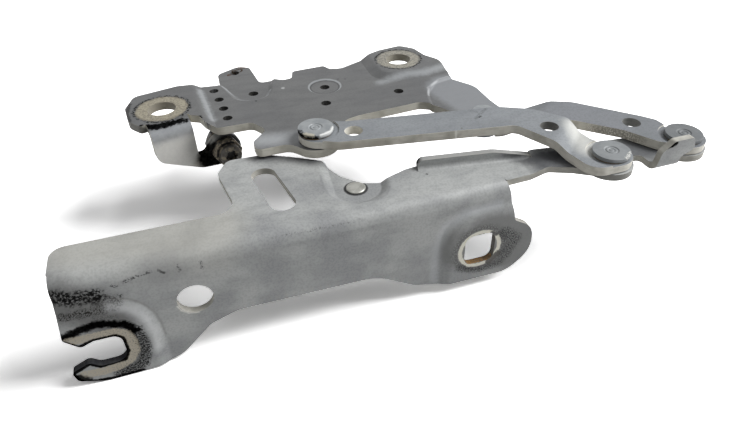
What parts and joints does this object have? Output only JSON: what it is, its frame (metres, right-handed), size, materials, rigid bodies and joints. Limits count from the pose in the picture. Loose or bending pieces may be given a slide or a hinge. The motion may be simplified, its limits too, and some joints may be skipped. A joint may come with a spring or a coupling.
{
  "type": "bonnet hinge",
  "caption": "Four-bar bonnet hinge of pressed sheet steel: an L-shaped body bracket, two cranked links and a bonnet plate on headed rivet pins, with an adjustable stop screw",
  "frame": {"origin": "centre of the rear body bolt hole, on the seat face of its raised pad", "axes": "+Z along the four pivot axes, away from the body bracket's web; X along the bracket's long bend, + towards the bracket pivots; +Y from the body side flange towards the bonnet plate"},
  "size_m": [0.2794, 0.158, 0.066],
  "materials": {
    "bracket_paint": "light grey paint, satin",
    "plate_paint": "light grey paint, satin",
    "link_paint": "light grey paint, satin",
    "pin_paint": "light grey paint over steel, satin",
    "bush_metal": "bearing bronze with a dark sliding layer",
    "washer_metal": "plain steel",
    "black_steel": "black coated steel, oily",
    "zinc_steel": "zinc plated steel"
  },
  "bodies": {
    "bracket": {"lower_bracket": "bracket_paint", "front_bracket_pin": "pin_paint", "rear_bracket_pin": "pin_paint", "strut_ball_stud": "zinc_steel"},
    "front_arm": {"front_link": "link_paint", "front_bracket_bush": "bush_metal", "front_bonnet_bush": "bush_metal", "front_bracket_washer": "washer_metal"},
    "rear_arm": {"rear_link": "link_paint", "rear_bracket_bush": "bush_metal", "rear_bracket_washer": "washer_metal"},
    "bonnet_side": {"upper_plate": "plate_paint", "front_bonnet_pin": "pin_paint", "rear_bonnet_pin": "pin_paint", "rear_bonnet_bush": "bush_metal", "front_bonnet_washer": "washer_metal", "rear_bonnet_washer": "washer_metal", "stop_screw": "black_steel", "stop_lock_nut": "black_steel", "stop_weld_nut": "black_steel"}
  },
  "joints": [
    {"name": "front_link_pivot", "type": "hinge", "parent": "bracket", "child": "front_arm", "pos_m": [0.0586, 0.001, 0.034], "axis": [0, 0, -1], "range_deg": [0, 70]},
    {"name": "bonnet_plate_pivot", "type": "hinge", "parent": "front_arm", "child": "bonnet_side", "pos_m": [-0.0568, 0.0574, 0.037], "axis": [0, 0, -1], "range_deg": [-37, 0]},
    {"name": "rear_link_pivot", "type": "hinge", "parent": "bracket", "child": "rear_arm", "pos_m": [0.097, 0.0026, 0.034], "axis": [0, 0, -1], "range_deg": [0, 81]}
  ],
  "couplings": [
    {"joint": "bonnet_plate_pivot", "follows": "front_link_pivot", "ratio": -0.5208},
    {"joint": "rear_link_pivot", "follows": "front_link_pivot", "ratio": 1.1508}
  ]
}
